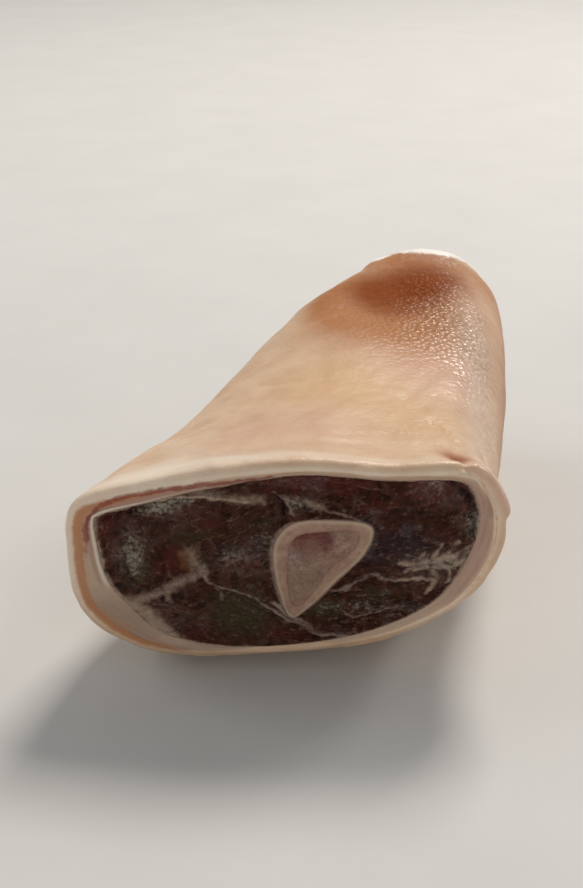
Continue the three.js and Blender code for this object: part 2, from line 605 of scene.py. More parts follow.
@dataclass
class Sheet:
    """A grid of points with rows and columns, and the values painted on it.

    Columns always close on themselves. Rows close too on a ring-shaped body, or else both ends are
    closed by a fan to their middle.
    """

    name: str
    points: Array
    fields: dict[str, Array]
    rows_close: bool = True

    def faces(self) -> tuple[Array, Array]:
        """Joins the grid's points into faces.

        Returns:
            Corner numbers of all faces in one list, and the number of corners of each face.
        """
        rows, columns = self.points.shape[:2]
        number = np.arange(rows * columns).reshape(rows, columns)
        right = np.roll(number, -1, axis=1)
        near, far = slice(None, -1), slice(1, None)
        quads = np.stack([number[near], right[near], right[far], number[far]], axis=-1).reshape(-1, 4)
        if self.rows_close:
            seam = np.stack([number[-1], right[-1], right[0], number[0]], axis=-1)
            quads = np.concatenate([quads, seam])
            return quads.ravel(), np.full(len(quads), 4)
        first_pole = np.full(columns, rows * columns)
        fans = [np.stack([first_pole, right[0], number[0]], axis=-1)]
        fans.append(np.stack([number[-1], right[-1], first_pole + 1], axis=-1))
        fan = np.concatenate(fans)
        corners = np.concatenate([quads.ravel(), fan.ravel()])
        return corners, np.concatenate([np.full(len(quads), 4), np.full(len(fan), 3)])

    def build(self, shift: Array) -> bpy.types.Object:
        """Makes the object, with its place in its mesh.

        Args:
            shift: From the leg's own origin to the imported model's, in millimetres.

        Returns:
            The new object, smooth shaded, with one attribute for each field.
        """
        points = self.points.reshape(-1, 3)
        if not self.rows_close:
            poles = np.stack([self.points[0].mean(axis=0), self.points[-1].mean(axis=0)])
            points = np.concatenate([points, poles])
        corners, sizes = self.faces()
        mesh = bpy.data.meshes.new(self.name)
        mesh.vertices.add(len(points))
        mesh.vertices.foreach_set("co", ((points + shift) * MM).astype(np.float32).ravel())
        mesh.loops.add(len(corners))
        mesh.loops.foreach_set("vertex_index", corners.astype(np.int32))
        mesh.polygons.add(len(sizes))
        starts = np.concatenate([[0], np.cumsum(sizes)[:-1]])
        mesh.polygons.foreach_set("loop_start", starts.astype(np.int32))
        mesh.update(calc_edges=True)
        mesh.validate()
        mesh.shade_smooth()
        for name, values in self.fields.items():
            painted = values.ravel()
            if not self.rows_close:
                painted = np.concatenate([painted, [values[0].mean(), values[-1].mean()]])
            attribute = mesh.attributes.new(name, "FLOAT", "POINT")
            attribute.data.foreach_set("value", painted.astype(np.float32))
        piece = bpy.data.objects.new(self.name, mesh)
        bpy.context.scene.collection.objects.link(piece)
        return piece


def surface_normals(points: Array) -> Array:
    """Directions out of a grid whose rows and columns both close on themselves.

    Each is the cross product of the step along the row and the step along the column.

    Args:
        points: The grid, with x, y and z last.

    Returns:
        One direction of length 1 for each point.
    """
    around = np.roll(points, -1, axis=1) - np.roll(points, 1, axis=1)
    along = np.roll(points, -1, axis=0) - np.roll(points, 1, axis=0)
    normal = np.cross(around, along)
    return normal / np.maximum(np.linalg.norm(normal, axis=-1, keepdims=True), TINY)


# ---------------------------------------------------------------------------------------------------
# Finishes
# ---------------------------------------------------------------------------------------------------


def linear(hex_colour: str) -> tuple[float, float, float, float]:
    """Turns an sRGB hex colour into the linear colour that a shader takes.

    Args:
        hex_colour: A hash sign and six hex digits.

    Returns:
        Red, green, blue and an alpha of 1.
    """
    parts = [int(hex_colour[place : place + 2], 16) / 255.0 for place in (1, 3, 5)]
    red, green, blue = (p / 12.92 if p <= 0.04045 else ((p + 0.055) / 1.055) ** 2.4 for p in parts)
    return red, green, blue, 1.0


def add_node(
    tree: bpy.types.NodeTree,
    kind: str,
    settings: dict[str, object] | None = None,
    inputs: dict[str | int, object] | None = None,
    stops: list[tuple[float, str]] | None = None,
) -> bpy.types.Node:
    """Adds one node with its settings and links.

    Args:
        tree: The material's node tree.
        kind: The node's type name.
        settings: Values of the node's own properties.
        inputs: For each input, by name or number, a value or the output socket that feeds it.
        stops: Places and hex colours of a colour ramp.

    Returns:
        The new node.
    """
    node = tree.nodes.new(kind)
    for name, value in (settings or {}).items():
        setattr(node, name, value)
    for name, value in (inputs or {}).items():
        if isinstance(value, bpy.types.NodeSocket):
            tree.links.new(value, node.inputs[name])
        else:
            node.inputs[name].default_value = value
    if stops:
        elements = node.color_ramp.elements
        while len(elements) < len(stops):
            elements.new(0.5)
        for element, (place, colour) in zip(elements, stops):
            element.position = place
            element.color = linear(colour)
    return node


@dataclass(frozen=True)
class Gloss:
    """The numbers of a finish that are the same all over it."""

    roughness: float
    ior: float
    subsurface: float
    subsurface_depth_mm: float
    coat: float
    coat_roughness: float


@dataclass(frozen=True)
class Tint:
    """One colour laid over another where a painted field is strong.

    wander_mm and wander break the field's edge up with noise of that size and strength, and low and
    high are where the field starts to show and shows fully.
    """

    field_name: str
    colour: str
    low: float = 0.0
    high: float = 1.0
    wander_mm: float = 3.0
    wander: float = 0.0
    strength: float = 1.0


@dataclass(frozen=True)
class Grain:
    """A bump of noise or cells, of a real size and depth in millimetres."""

    size_mm: float
    depth_mm: float
    cells: bool = False
    field_name: str = ""


@dataclass(frozen=True)
class Net:
    """Thin lines between crooked cells of a real size, shown where a painted field is strong.

    line is the lines' width as a share of a cell.
    """

    field_name: str
    colour: str
    size_mm: float
    line: float
    strength: float


@dataclass(frozen=True)
class Flesh:
    """A finish for a natural surface: mottled base colours, then nets, then tints, then bumps.

    dry_field is the painted field that makes the surface rougher, by dry_roughness, and dulls it, and
    wet_field is the one that lays the gloss's coat on it. Without a wet_field the coat is even.
    """

    name: str
    light: str
    dark: str
    mottle_mm: float
    gloss: Gloss
    tints: tuple[Tint, ...] = ()
    nets: tuple[Net, ...] = ()
    grains: tuple[Grain, ...] = ()
    roughness_wander: float = 0.1
    dry_field: str = ""
    dry_roughness: float = 0.4
    wet_field: str = ""

    def painted(self, tree: bpy.types.NodeTree, field_name: str) -> Socket:
        """The strength of a painted field.

        Args:
            tree: The material's node tree.
            field_name: The field's name on the mesh.

        Returns:
            The socket that gives it.
        """
        return add_node(tree, "ShaderNodeAttribute", {"attribute_name": field_name}).outputs["Fac"]

    def noise_at(self, tree: bpy.types.NodeTree, place: Socket, size_mm: float) -> Socket:
        """Cloudy noise from 0 to 1.

        Args:
            tree: The material's node tree.
            place: The place in metres.
            size_mm: About how wide the clouds are.

        Returns:
            The socket that gives it.
        """
        settings = {"Scale": 1.0 / (size_mm * MM), "Detail": 4.0, "Roughness": 0.6}
        node = add_node(tree, "ShaderNodeTexNoise", inputs={"Vector": place, **settings})
        return node.outputs["Fac"]

    def tinted(self, tree: bpy.types.NodeTree, place: Socket, under: Socket, tint: Tint) -> Socket:
        """Lays a tint over a colour.

        Args:
            tree: The material's node tree.
            place: The place in metres.
            under: The colour so far.
            tint: The tint.

        Returns:
            The colour with the tint on it.
        """
        painted = self.painted(tree, tint.field_name)
        cloud = self.noise_at(tree, place, tint.wander_mm)
        centred = add_node(tree, "ShaderNodeMath", {"operation": "SUBTRACT"}, {0: cloud, 1: 0.5})
        wander = add_node(
            tree, "ShaderNodeMath", {"operation": "MULTIPLY_ADD"},
            {0: centred.outputs[0], 1: tint.wander * 2.0, 2: painted},
        )
        share = add_node(
            tree, "ShaderNodeMapRange", {"interpolation_type": "SMOOTHSTEP"},
            {
                "Value": wander.outputs[0], "From Min": tint.low, "From Max": tint.high,
                "To Max": tint.strength,
            },
        )
        over = add_node(
            tree, "ShaderNodeMix", {"data_type": "RGBA"},
            {"Factor": share.outputs[0], "A": under, "B": linear(tint.colour)},
        )
        return over.outputs["Result"]

    def netted(self, tree: bpy.types.NodeTree, place: Socket, under: Socket, net: Net) -> Socket:
        """Lays a net's lines over a colour.

        The place in the cells is the real place, bent by clouds a little wider than a cell.

        Args:
            tree: The material's node tree.
            place: The place in metres.
            under: The colour so far.
            net: The net.

        Returns:
            The colour with the lines on it.
        """
        scale = 1.0 / (net.size_mm * MM)
        clouds = {"Vector": place, "Scale": scale * 0.7, "Detail": 3.0}
        cloud = add_node(tree, "ShaderNodeTexNoise", inputs=clouds)
        bend = add_node(
            tree, "ShaderNodeVectorMath", {"operation": "MULTIPLY_ADD"},
            {0: cloud.outputs["Color"], 1: (net.size_mm * MM * 1.6,) * 3, 2: place},
        )
        cells = add_node(
            tree, "ShaderNodeTexVoronoi", {"feature": "DISTANCE_TO_EDGE"},
            {"Vector": bend.outputs[0], "Scale": scale},
        )
        painted = self.painted(tree, net.field_name)
        shown = add_node(tree, "ShaderNodeMath", {"operation": "MULTIPLY"}, {0: painted, 1: net.strength})
        share = add_node(
            tree, "ShaderNodeMapRange", {"interpolation_type": "SMOOTHSTEP"},
            {
                "Value": cells.outputs["Distance"], "From Min": net.line, "From Max": 0.0,
                "To Max": shown.outputs[0],
            },
        )
        over = add_node(
            tree, "ShaderNodeMix", {"data_type": "RGBA"},
            {"Factor": share.outputs[0], "A": under, "B": linear(net.colour)},
        )
        return over.outputs["Result"]

    def bumped(
        self, tree: bpy.types.NodeTree, place: Socket, under: Socket | None, grain: Grain
    ) -> Socket:
        """Lays one more bump on the surface.

        Args:
            tree: The material's node tree.
            place: The place in metres.
            under: The surface direction so far, or None for the mesh's own.
            grain: The bump.

        Returns:
            The new surface direction.
        """
        if grain.cells:
            node = add_node(
                tree, "ShaderNodeTexVoronoi", {"feature": "F1"},
                {"Vector": place, "Scale": 1.0 / (grain.size_mm * MM)},
            )
            height = node.outputs["Distance"]
        else:
            height = self.noise_at(tree, place, grain.size_mm)
        inputs = {"Height": height, "Distance": grain.depth_mm * MM, "Strength": 1.0}
        if grain.field_name:
            inputs["Strength"] = self.painted(tree, grain.field_name)
        if under is not None:
            inputs["Normal"] = under
        return add_node(tree, "ShaderNodeBump", inputs=inputs).outputs["Normal"]

    def build(self) -> bpy.types.Material:
        """Makes the material.

        Returns:
            The new material.
        """
        material = bpy.data.materials.new(self.name)
        material.use_nodes = True
        tree = material.node_tree
        tree.nodes.clear()
        place = add_node(tree, "ShaderNodeTexCoord").outputs["Object"]
        mottle = self.noise_at(tree, place, self.mottle_mm)
        ramp = add_node(
            tree, "ShaderNodeValToRGB", inputs={"Fac": mottle}, stops=[(0.3, self.dark), (0.7, self.light)]
        )
        colour = ramp.outputs["Color"]
        for net in self.nets:
            colour = self.netted(tree, place, colour, net)
        for tint in self.tints:
            colour = self.tinted(tree, place, colour, tint)
        normal = None
        for grain in self.grains:
            normal = self.bumped(tree, place, normal, grain)
        rough = add_node(
            tree, "ShaderNodeMapRange", inputs={
                "Value": self.noise_at(tree, place, self.mottle_mm / 3.0),
                "To Min": self.gloss.roughness - self.roughness_wander,
                "To Max": self.gloss.roughness + self.roughness_wander,
            },
        )
        roughness = rough.outputs[0]
        level = 0.5
        if self.dry_field:
            dry = self.painted(tree, self.dry_field)
            roughness = add_node(
                tree, "ShaderNodeMath", {"operation": "MULTIPLY_ADD", "use_clamp": True},
                {0: dry, 1: self.dry_roughness, 2: roughness},
            ).outputs[0]
            level = add_node(
                tree, "ShaderNodeMath", {"operation": "MULTIPLY_ADD", "use_clamp": True},
                {0: dry, 1: -0.5, 2: 0.5},
            ).outputs[0]
        coat = self.gloss.coat
        if self.wet_field:
            wet = self.painted(tree, self.wet_field)
            film = add_node(tree, "ShaderNodeMath", {"operation": "MULTIPLY"}, {0: wet, 1: coat})
            coat = film.outputs[0]
        shader = add_node(
            tree, "ShaderNodeBsdfPrincipled", inputs={
                "Base Color": colour,
                "Roughness": roughness,
                "Specular IOR Level": level,
                "IOR": self.gloss.ior,
                "Subsurface Weight": self.gloss.subsurface,
                "Subsurface Radius": (1.0, 0.45, 0.25),
                "Subsurface Scale": self.gloss.subsurface_depth_mm * MM,
                "Coat Weight": coat,
                "Coat Roughness": self.gloss.coat_roughness,
            },
        )
        if normal is not None:
            tree.links.new(normal, shader.inputs["Normal"])
            tree.links.new(normal, shader.inputs["Coat Normal"])
        add_node(tree, "ShaderNodeOutputMaterial", inputs={"Surface": shader.outputs[0]})
        return material


class Finish(Enum):
    """The finishes of the hock."""

    # Raw pork skin, scalded and scraped: it is pale and even, browner in the hollow before the ankle cut,
    #     and the damp film on it shines on ridges and round each pore. The brown is partly painted shade on
    #     the hollow's far wall, which faces away from the strong light; the same field makes the skin
    #     rougher and duller.
    RIND = Flesh(
        name="raw_pork_rind",
        light="#d2b495", dark="#c09c7c", mottle_mm=12.0,
        gloss=Gloss(0.42, 1.36, 0.14, 2.0, 0.7, 0.16),
        tints=(
            Tint("yellow", "#c9a070", 0.0, 1.0, 8.0, 0.2, 0.65),
            Tint("pink", "#c69c86", 0.0, 1.0, 8.0, 0.2, 0.7),
            Tint("tan", "#a1642f", 0.0, 1.0, 6.0, 0.25, 0.92),
            # Brown: a browner skin in the hollow, with painted shade on its far wall.
            Tint("brown", "#74330f", 0.0, 1.0, 4.0, 0.2, 0.9),
            Tint("cream", "#dfd0bc", 0.0, 1.0, 5.0, 0.15, 0.9),
            Tint("fat", "#b79d86", 0.2, 0.8, 1.5, 0.2, 0.9),
            # Painted shade: darker cut fat at the lower left and along the bottom of the cut, near the
            # floor.
            Tint("pad", "#9c8573", 0.0, 1.0, 3.0, 0.3, 0.9),
            Tint("dermis", "#b0754a", 0.2, 0.95, 1.8, 0.4, 0.8),
            Tint("rosy", "#a28072", 0.1, 1.0, 3.0, 0.25, 0.75),
            Tint("muscle", "#7d2c22", 0.3, 1.0, 2.0, 0.7, 0.75),
            Tint("white", "#d3c8ba", 0.2, 0.9, 1.5, 0.4, 0.85),
            Tint("flake", "#eae2d8", 0.3, 0.55, 2.4, 0.3, 0.95),
        ),
        grains=(
            Grain(9.0, 0.6), Grain(2.4, 0.16), Grain(0.8, 0.07),
            Grain(2.0, 1.1, cells=True, field_name="pores"),
        ),
        dry_field="brown",
        wet_field="wet",
    )
    # Wet cut muscle: dark brown-red, with paler sheaths between the bundles. The silver flecks and the pale
    # streaks along the grain are partly painted highlight for the wet sheen; the crevice tint is painted
    # shade.
    LEAN = Flesh(
        name="wet_cut_lean_pork",
        light="#4a2519", dark="#210f0a", mottle_mm=3.4,
        gloss=Gloss(0.2, 1.4, 0.03, 0.8, 0.0, 0.1),
        tints=(
            Tint("olive", "#3a311d", 0.0, 0.75, 2.4, 0.5, 0.95),
            Tint("purple", "#2c1f24", 0.0, 0.9, 2.4, 0.4, 0.8),
            Tint("red", "#51201b", 0.05, 1.0, 2.6, 0.8, 0.85),
            # Pale streaks along the grain: partly fibre texture, partly painted highlight standing in for
            # wet sheen.
            Tint("streaks", "#7d6254", 0.42, 1.05, 1.4, 0.7, 0.5),
            # Grey-white silverskin flecks, partly a painted highlight that stands in for the wet sheen on
            # the cut.
            Tint("silver", "#8c8475", 0.3, 1.0, 1.3, 1.1, 0.85),
            Tint("membrane", "#978172", 0.15, 0.95, 1.2, 0.4, 0.8),
            Tint("fat", "#a48d79", 0.1, 0.95, 1.8, 0.4, 0.9),
            Tint("yellow", "#70482a", 0.2, 1.2, 1.6, 0.7, 0.6),
            # Near-black in the cracks between muscles: painted shade where the light doesn't reach.
            Tint("crevice", "#150a08", 0.3, 0.8, 0.9, 0.35, 0.95),
        ),
        nets=(
            Net("cells", "#7d6357", 2.9, 0.26, 0.5),
            Net("bundles", "#160906", 5.2, 0.16, 0.8),
            Net("bundles", "#5f4136", 8.5, 0.13, 0.4),
        ),
        grains=(Grain(3.0, 1.3), Grain(1.2, 0.4)),
        roughness_wander=0.12,
        dry_field="matt",
    )
    # Sawn hard bone: beige-pink and damp, with the saw's fine roughness.
    BONE = Flesh(
        name="sawn_shin_bone",
        light="#ab8d76", dark="#8d6c5a", mottle_mm=3.0,
        gloss=Gloss(0.45, 1.45, 0.12, 1.0, 0.1, 0.3),
        tints=(
            Tint("edge", "#b69e86", 0.1, 0.9, 1.5, 0.5, 0.6),
            Tint("rosy", "#8c6154", 0.1, 1.0, 1.6, 0.6, 0.85),
        ),
        grains=(Grain(1.4, 0.2), Grain(0.5, 0.08)),
    )
    # Spongy bone full of marrow: pink, with redder pools and pale struts.
    MARROW = Flesh(
        name="red_marrow_in_spongy_bone",
        light="#957865", dark="#77594b", mottle_mm=2.4,
        gloss=Gloss(0.36, 1.42, 0.15, 1.0, 0.15, 0.2),
        tints=(
            Tint("rosy", "#6c4036", 0.0, 0.9, 2.5, 0.4, 0.88),
            Tint("grey", "#7a6468", 0.1, 1.0, 2.5, 0.3, 0.7),
            Tint("red", "#5f2620", 0.1, 1.0, 1.6, 0.6, 0.9),
            Tint("struts", "#b89a86", 0.3, 1.0, 1.0, 0.3, 0.5),
        ),
        grains=(Grain(1.2, 0.25), Grain(0.5, 0.08)),
    )
    # Matt painted board under the hock.
    FLOOR = Flesh(
        name="matt_pale_board",
        light="#c9c6c1", dark="#c5c2bd", mottle_mm=60.0,
        gloss=Gloss(0.85, 1.3, 0.0, 1.0, 0.0, 0.5),
        roughness_wander=0.02,
    )


# ---------------------------------------------------------------------------------------------------
# Pieces
# ---------------------------------------------------------------------------------------------------


def dress(piece: bpy.types.Object, finish: Finish, node: str) -> bpy.types.Object:
    """Gives a piece its finish, and lets it stand for its solid.

    Args:
        piece: The finished object.
        finish: What it is made of.
        node: The solid that it replaces.

    Returns:
        The same object.
    """
    piece.data.materials.append(finish.value.build())
    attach(piece, "root")
    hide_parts(node)
    return piece


def even(count: int, start: float = 0.0, end: float = 1.0) -> Array:
    """Evenly spaced numbers down one column, so that they are broadcast over a grid's columns.

    Args:
        count: How many.
        start: The first.
        end: The last.

    Returns:
        The numbers, one in each row.
    """
    return np.linspace(start, end, count)[:, None]


def around(columns: int) -> Array:
    """The shares of the way round at which a grid's columns stand.

    Args:
        columns: How many columns.

    Returns:
        The shares in one row, from 0 up to but not at 1.
    """
    return np.linspace(0.0, 1.0, columns, endpoint=False)[None, :]


@dataclass
class Rind:
    """The skin with its fat: an open-ended sleeve with rounded rims at the two saw cuts.

    Its grid goes round the leg in columns. Its rows go from the inner edge of the knee cut over the
    cut band and rim, along the skin, over the ankle rim and band, and back inside.
    """

    leg: LegShape
    columns: int = 440
    band_rows: int = 26
    rim_rows: int = 9
    skin_rows: int = 150
    inner_rows: int = 8
    knee_rim_radius: float = 2.9
    ankle_rim_radius: float = 1.6
    lean_degrees: float = 28.0
    skin_fields: tuple[str, ...] = ("tan", "brown", "yellow", "pink", "cream", "pores", "wet")
    floor_clear: tuple[float, float] = (0.3, 4.0)

    tan: tuple[Dab, ...] = (
        Dab((42, 60, 77), (27, 32, 18), 0.95),
        Dab((42, 20, 77), (27, 30, 16), 0.85),
        Dab((16, 44, 79), (13, 26, 14), 0.8),
        Dab((84, 40, 46), (13, 60, 26), 0.75),
        Dab((76, -30, 40), (14, 50, 22), 0.5),
        Dab((80, 90, 60), (14, 14, 24), 0.4),
        Dab((49, -84, 77), (7, 5, 5), 0.8),
        Dab((52, 92, 76), (22, 8, 12), 0.7),
    )
    # Browner skin in the hollow; the largest dab is painted shade on the far wall, facing away from the
    # strong light.
    brown: tuple[Dab, ...] = (
        Dab((48, 68, 76), (21, 22, 14), 0.9),
        Dab((38, 44, 77), (15, 14, 12), 0.45),
        Dab((28, 60, 78), (10, 14, 12), 0.4),
        Dab((60, 78, 73), (12, 14, 12), 0.45),
        Dab((50, -84, 77), (5, 4, 5), 0.8),
    )
    yellow: tuple[Dab, ...] = (Dab((20, -26, 74), (30, 26, 14), 0.8), Dab((44, -58, 73), (22, 16, 12), 0.5))
    pink: tuple[Dab, ...] = (
        Dab((-5, -64, 74), (30, 24, 14), 0.6),
        Dab((60, -20, 66), (12, 50, 16), 0.35),
        Dab((14, 45, 78), (10, 30, 14), 0.4),
        Dab((60, -92, 69), (9, 8, 13), 1.0),
        Dab((46, -8, 75), (22, 26, 14), 0.7),
    )
    cream: tuple[Dab, ...] = (
        Dab((-42, -88, 68), (26, 12, 12), 0.8),
        Dab((-15, -90, 77), (22, 5, 7), 0.6),
        Dab((24, -92, 79), (24, 4, 6), 0.5),
        Dab((-66, -88, 46), (7, 8, 26), 0.9),
        Dab((64, 10, 72), (7, 60, 8), 0.3),
        Dab((60, -90, 68), (8, 7, 14), 0.25),
        Dab((-30, -60, 62), (14, 22, 14), 0.3),
        Dab((60, 99, 78), (19, 5, 12), 0.3),
        Dab((74, 97, 70), (9, 5, 10), 0.3),
        Dab((34, 94, 78), (5, 4, 6), 0.3),
    )
    pores: tuple[Dab, ...] = (
        Dab((46, 30, 77), (22, 34, 14), 0.9),
        Dab((66, 0, 70), (10, 60, 16), 0.9),
        Dab((54, 60, 77), (16, 22, 14), 0.6),
        Dab((40, -60, 72), (30, 20, 14), 0.25),
    )
    curls: tuple[Dab, ...] = (Dab((60, 98, 80), (20, 6, 18), 2.6), Dab((34, 94, 79), (4, 5, 6), 1.4))
    flake: tuple[Dab, ...] = (
        Dab((60, 100, 80), (21, 5.2, 8), 1.3),
        Dab((78, 99, 68), (8, 5, 9), 1.0),
        Dab((34, 96, 79), (4.5, 4, 5), 1.3),
    )
    wet: tuple[Dab, ...] = (
        Dab((54, 36, 77), (11, 26, 12), 0.9),
        Dab((67, 20, 70), (9, 60, 14), 0.8),
        Dab((60, -40, 71), (11, 40, 12), 0.9),
        Dab((-20, -89, 76), (13, 7, 8), 0.9),
        Dab((52, -90, 73), (8, 6, 9), 0.7),
    )
    folds: tuple[Dab, ...] = (
        Dab((49, -87, 79), (4.5, 5, 6), -3.0),
        Dab((-22, -90, 76), (9, 3.5, 6), 1.0),
        Dab((-10, -82, 76), (18, 6, 8), -0.9),
        Dab((36, -80, 76), (16, 7, 8), -0.7),
    )
    creases: tuple[Line, ...] = (
        Line(((-9, -16), (2, -20), (12, -20)), 1.6, 0.35),
        Line(((2, 32), (8, 40), (20, 43)), 1.6, 0.35),
        Line(((4, 20), (12, 30), (18, 34)), 1.4, 0.25),
        Line(((20, -37), (28, -32), (36, -35), (43, -46)), 2.0, 0.25),
        Line(((24, -43), (31, -39), (39, -44)), 1.5, 0.2),
        Line(((14, -71), (34, -67), (52, -70)), 1.8, 0.35),
        Line(((16, -78), (34, -75), (50, -78)), 1.5, 0.3),
        Line(((44, -56), (50, -70), (49, -84)), 2.0, 0.9),
        Line(((60, -62), (55, -74), (51, -84)), 1.6, 0.6),
        Line(((-44, -70), (-22, -58), (2, -46)), 3.0, 0.45),
        Line(((-40, -50), (-20, -36), (-2, -28)), 2.6, 0.35),
    )
    lip: Line = Line(((52, 79), (56.5, 75), (60.5, 68.5), (62.5, 60)), 2.6, 1.6)
    lip_groove: Line = Line(((50.5, 76), (54, 71.5), (56.5, 66), (58, 60)), 1.3, -1.2)
    strip: Line = Line(
        ((-58.5, 36), (-58.5, 48.5), (-57.5, 57), (-54, 62), (-49, 65), (-38.5, 68), (-27.5, 69.8),
         (-14.5, 71.5), (-4.5, 72.5)), 1.2,
    )

    def path(self) -> tuple[Array, Array, Array]:
        """Lays out the grid.

        Returns:
            Turn, share of the leg's length, and depth under the skin in millimetres at each point.
        """
        leg = self.leg
        turn = around(self.columns)
        knee, ankle = self.knee_rim_radius, self.ankle_rim_radius
        angle = even(self.rim_rows) * np.pi / 2.0
        band = even(self.band_rows)
        knee_band = mix(leg.rind_thickness(turn, 0.0), knee, band)
        ankle_band = mix(ankle, leg.rind_thickness(turn, 1.0), band)
        skin_back = mix(knee, leg.length - ankle, even(self.skin_rows + 2)[1:-1])
        inner = even(self.inner_rows + 2)[1:-1][::-1]
        depths = [
            knee_band[:-1], knee * (1.0 - np.sin(angle)), 0.0 * skin_back,
            ankle * (1.0 - np.sin(angle[::-1])), ankle_band[1:], leg.rind_thickness(turn, inner),
        ]
        backs = [
            0.0 * band[:-1], knee * (1.0 - np.cos(angle)), skin_back,
            leg.length - ankle * (1.0 - np.cos(angle[::-1])), 0.0 * band[1:] + leg.length,
            inner * leg.length,
        ]
        depth, back = (
            np.concatenate([np.broadcast_to(part, (len(part), self.columns)) for part in parts])
            for parts in (depths, backs)
        )
        return np.broadcast_to(turn, depth.shape), back / leg.length, depth

    def relief(self, points: Array, depth_share: Array, along: Array) -> Array:
        """Height of the surface detail: slow waves, wrinkles, creases, folds and layers.

        Args:
            points: The smooth grid.
            depth_share: 0 on the skin and 1 at the lean meat.
            along: Share of the leg's length.

        Returns:
            Millimetres at each point.
        """
        on_skin = smooth_step(0.3, 0.0, depth_share)
        near_knee = smooth_step(0.1, 0.02, along)
        face = points[..., [0, 2]]
        waves = 0.75 * noise(points, 24.0, 11, 2) + 0.22 * noise(points, 6.0, 12, 2)
        lengthways = 0.3 * noise(self.leg_frame(points), (5.0, 30.0, 8.0), 15, 2)
        wrinkled = Dab((34, -78, 76), (30, 16, 16), 1.0).over(points)
        wrinkles = 0.4 * noise(points, (26.0, 3.4, 26.0), 13, 2) * wrinkled
        on_top = smooth_step(56.0, 64.0, points[..., 2])
        lines = -total(self.creases, points[..., :2]) * on_top
        folds = total(self.folds, points) + near_knee * total([self.lip, self.lip_groove], face)
        on_band = smooth_step(0.3, 0.5, depth_share)
        at_knee = smooth_step(0.5, 0.0, along)
        layered = np.stack([depth_share * 7.0, points[..., 0] / 14.0, points[..., 2] / 14.0], -1)
        layers = 0.5 * noise(layered, 1.0, 14, 3)
        dome = 0.5 * np.sin(np.pi * np.clip(depth_share, 0.0, 1.0))
        skin = on_skin * (waves + wrinkles + lines + lengthways)
        return skin + folds * at_knee + on_band * (layers + dome)

    def leg_frame(self, points: Array) -> Array:
        """Turns points so that y runs the way that the leg leans.

        Args:
            points: Points with x, y and z last.

        Returns:
            The turned points.
        """
        lean = np.radians(self.lean_degrees)
        x, y, z = (points[..., axis] for axis in range(3))
        across = x * np.cos(lean) - y * np.sin(lean)
        lengthways = x * np.sin(lean) + y * np.cos(lean)
        return np.stack([across, lengthways, z], axis=-1)

    def build(self) -> bpy.types.Object:
        """Builds and dresses the rind.

        Returns:
            The finished object.
        """
        leg = self.leg
        turn, along, depth = self.path()
        points = leg.inwards(leg.skin, turn, along, depth)
        thickness = leg.rind_thickness(turn, along)
        depth_share = depth / thickness
        inside = depth_share >= 0.999
        relief = np.where(inside, 0.0, self.relief(points, depth_share, along))
        relief *= smooth_step(1.0, 0.9, depth_share)
        relief *= smooth_step(*self.floor_clear, points[..., 2])
        at_ankle = smooth_step(0.8, 0.95, along)
        relief += total(self.curls, points) * smooth_step(1.0, 0.6, depth_share) * at_ankle
        fields = self.paint(points, depth, depth_share, along)
        points = points + surface_normals(points) * relief[..., None]
        return dress(Sheet("rind_skin_and_fat", points, fields).build(leg.shift), Finish.RIND, "rind")

    def paint(self, points: Array, depth: Array, depth_share: Array, along: Array) -> dict[str, Array]:
        """Paints the colour fields.

        Args:
            points: The smooth grid.
            depth: Millimetres under the skin.
            depth_share: 0 on the skin and 1 at the lean meat.
            along: Share of the leg's length.

        Returns:
            The fields by name, from 0 to about 1.
        """
        x, z = points[..., 0], points[..., 2]
        face = points[..., [0, 2]]
        cut = smooth_step(1.0, 3.2, depth)
        knee_cut = cut * smooth_step(0.5, 0.0, along)
        ankle_cut = cut * smooth_step(0.5, 1.0, along)
        skin_only = 1.0 - cut
        left = smooth_step(-20.0, -50.0, x)
        right = smooth_step(30.0, 60.0, x)
        low = smooth_step(40.0, 20.0, z)
        high = smooth_step(55.0, 68.0, z)
        upper_left = left * smooth_step(28.0, 38.0, z)
        # Heights near the floor, where shade is painted on the cut.
        floor_side = smooth_step(18.0, 6.0, z)
        # The layers of the cut fat lie at depths that waver a little.
        wavy = depth + 0.7 * noise(points, 9.0, 16, 3)
        dermis = bell(wavy, 4.4, 1.3) * mix(0.1, 1.0, left) + 0.35 * left * smooth_step(8.0, 5.0, wavy)
        thin_layers = ((7.4, 0.5, 0.6 * left * low), (10.2, 0.6, 0.5 * left * low), (2.6, 0.6, 0.7 * right))
        for middle, width, amount in thin_layers:
            dermis += bell(wavy, middle, width) * amount
        strip = self.strip.over(face + 0.5 * noise(points, 4.0, 17, 2)[..., None])
        # The cream cut edge fades towards the floor: painted shade at the bottom of the cut.
        edge = cut * smooth_step(4.2, 2.6, wavy) * mix(0.2, 1.0, smooth_step(6.0, 26.0, z))
        inner_fat = smooth_step(3.0, 5.0, wavy)
        fields = {name: total(getattr(self, name), points) * skin_only for name in self.skin_fields}
        fields["cream"] += 0.9 * ankle_cut + 0.8 * edge
        fields["white"] = bell(depth_share, 0.93, 0.05) * upper_left * knee_cut
        fields["flake"] = total(self.flake, points)
        fields["dermis"] = dermis * knee_cut
        fields["fat"] = smooth_step(2.8, 4.4, wavy) * cut
        # Painted shade on the cut fat at the lower left and next to the floor, where the cut gets little
        # light.
        fields["pad"] = np.maximum(left * low, floor_side) * inner_fat * knee_cut
        fields["rosy"] = np.maximum(right, 0.8 * high) * knee_cut * inner_fat * 0.85
        fields["rosy"] += bell(depth_share, 0.8, 0.07) * upper_left * knee_cut
        fields["muscle"] = strip * knee_cut * smooth_step(36.0, 54.0, z)
        return fields


@dataclass(frozen=True)
class Muscle:
    """One muscle in the knee cut: where its middle is, and how its grain runs there."""

    middle: tuple[float, float]
    grain_degrees: float
    reach: float = 14.0


